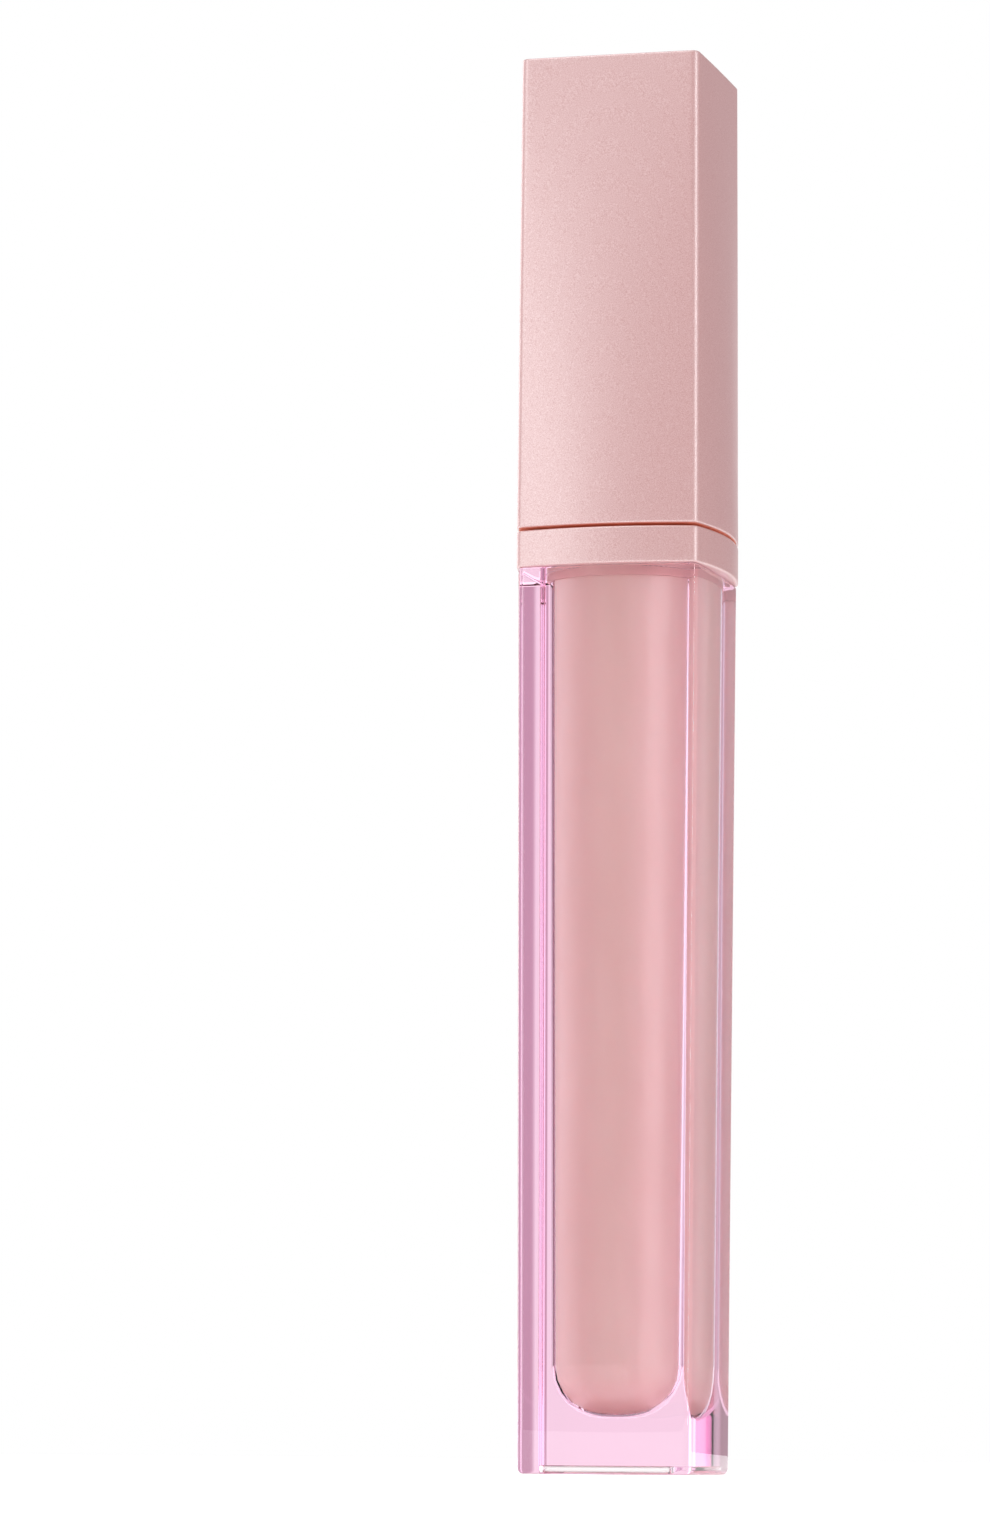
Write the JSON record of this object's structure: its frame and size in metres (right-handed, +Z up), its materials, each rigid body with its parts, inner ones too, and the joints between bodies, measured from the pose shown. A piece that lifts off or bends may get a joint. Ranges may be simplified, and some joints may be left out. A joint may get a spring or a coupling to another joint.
{
  "type": "lip gloss tube",
  "caption": "Square lip gloss tube with a thick clear base and a pearl screw cap that carries a rod with a flocked doe-foot tip.",
  "frame": {"origin": "middle of the foot, on the surface that the tube stands on", "axes": "+Z up along the tube from foot to cap; -Y and +X are two of its four equal sides"},
  "size_m": [0.0178, 0.0178, 0.12],
  "materials": {
    "clear_lilac": "clear thick plastic with a lilac tint, polished",
    "gloss": "milky pink liquid, glossy",
    "label": "blank white paper sticker",
    "neck": "pink-tinted moulded polypropylene",
    "pearl_pink": "pearl pink lacquer, satin, with fine flake",
    "wiper": "soft translucent polyethylene",
    "liner": "moulded polypropylene",
    "champagne": "champagne gold anodised, fine satin",
    "adhesive": "double-sided foam pad",
    "slug": "turned steel",
    "seal": "closed-cell foam",
    "rod": "smooth moulded rod",
    "tip": "soft elastomer",
    "flock": "short nylon flock"
  },
  "bodies": {
    "bottle": {"base_shell": "clear_lilac", "gloss_fill": "gloss", "base_label": "label", "neck_insert": "neck", "collar": "pearl_pink", "wiper": "wiper"},
    "seal": {"seal_disc": "seal"},
    "weight": {"cap_weight": "slug"},
    "cap": {"cap_shell": "pearl_pink", "cap_liner": "liner", "top_plate": "champagne", "plate_pad": "adhesive", "wand_rod": "rod", "tip_core": "tip", "tip_flock": "flock"}
  },
  "joints": [
    {"name": "cap_lift", "type": "slide", "parent": "bottle", "child": "seal", "axis": [0, 0, 1], "range_m": [0, 0.09]},
    {"name": "cap_rise", "type": "slide", "parent": "seal", "child": "weight", "axis": [0, 0, 1], "range_m": [0, 0.0032]},
    {"name": "cap_turn", "type": "hinge", "parent": "weight", "child": "cap", "pos_m": [0, 0, 0.0795], "axis": [0, 0, 1], "range_deg": [0, 540]}
  ],
  "couplings": [
    {"joint": "cap_rise", "follows": "cap_turn", "m_per_rad": 0.00033423}
  ]
}
